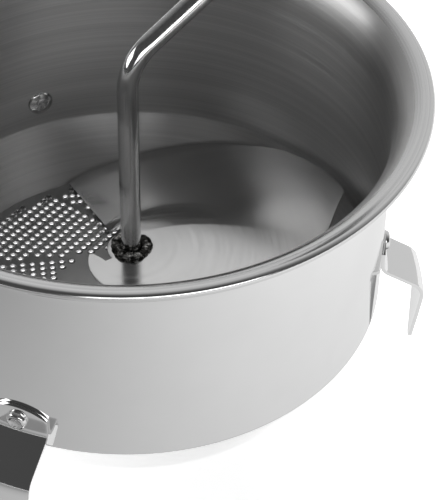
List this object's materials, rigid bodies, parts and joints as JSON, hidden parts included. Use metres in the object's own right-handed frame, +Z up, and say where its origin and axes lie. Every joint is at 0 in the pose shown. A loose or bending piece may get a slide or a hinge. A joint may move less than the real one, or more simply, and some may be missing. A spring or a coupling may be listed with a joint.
{
  "type": "rotary food mill",
  "caption": "Rotary hand food mill: flared bowl with perforated bottom, cranked pressing blade, strip hooks and a long handle.",
  "frame": {"origin": "on the bowl's axis, in the plane of the pot's rim on which the hooks rest", "axes": "+Z up along the crank's axis, +X towards the right hook"},
  "size_m": [0.2407, 0.3042, 0.2564],
  "materials": {
    "bowl_steel": "mirror-polished stainless outside, brushed inside",
    "bottom_steel": "satin, punched",
    "plain_steel": "plain stainless",
    "rod_steel": "polished bar",
    "blade_steel": "polished sheet",
    "weld": "dark as-welded",
    "black_plastic": "fine moulded texture",
    "wire_steel": "drawn wire",
    "strip_steel": "polished strip",
    "rivet_steel": "polished heads"
  },
  "bodies": {
    "bowl": {"bowl": "bowl_steel", "perforated_bottom": "bottom_steel", "bearing_bush": "plain_steel", "hook_front_left": "strip_steel", "hook_right": "strip_steel", "hook_rivet_front_left": "rivet_steel", "hook_rivet_right": "rivet_steel", "handle_bracket": "strip_steel", "handle_rivets": "rivet_steel", "handle_grip": "black_plastic", "grip_screw": "plain_steel", "grip_bushing": "plain_steel"},
    "scraper": {"scraper_wire": "wire_steel", "upper_washer": "plain_steel", "spring": "wire_steel"},
    "crank": {"crank_rod": "rod_steel", "blade": "blade_steel", "weld_bead": "weld", "lower_washer": "plain_steel", "wing_nut": "plain_steel", "knob_washer": "plain_steel", "knob_cap": "plain_steel"},
    "knob": {"crank_knob": "black_plastic"}
  },
  "joints": [
    {"name": "crank_turn", "type": "hinge", "parent": "bowl", "child": "scraper", "pos_m": [0, 0, 0], "axis": [0, 0, 1], "continuous": true},
    {"name": "crank_lift", "type": "slide", "parent": "scraper", "child": "crank", "axis": [0, 0, 1], "range_m": [0, 0.003], "stiffness_N_per_m": 2000, "springref_m": -0.006, "deforming": ["spring"]},
    {"name": "knob_spin", "type": "hinge", "parent": "crank", "child": "knob", "pos_m": [0.06755, 0.039, 0.1458], "axis": [0, 0, 1], "continuous": true}
  ]
}
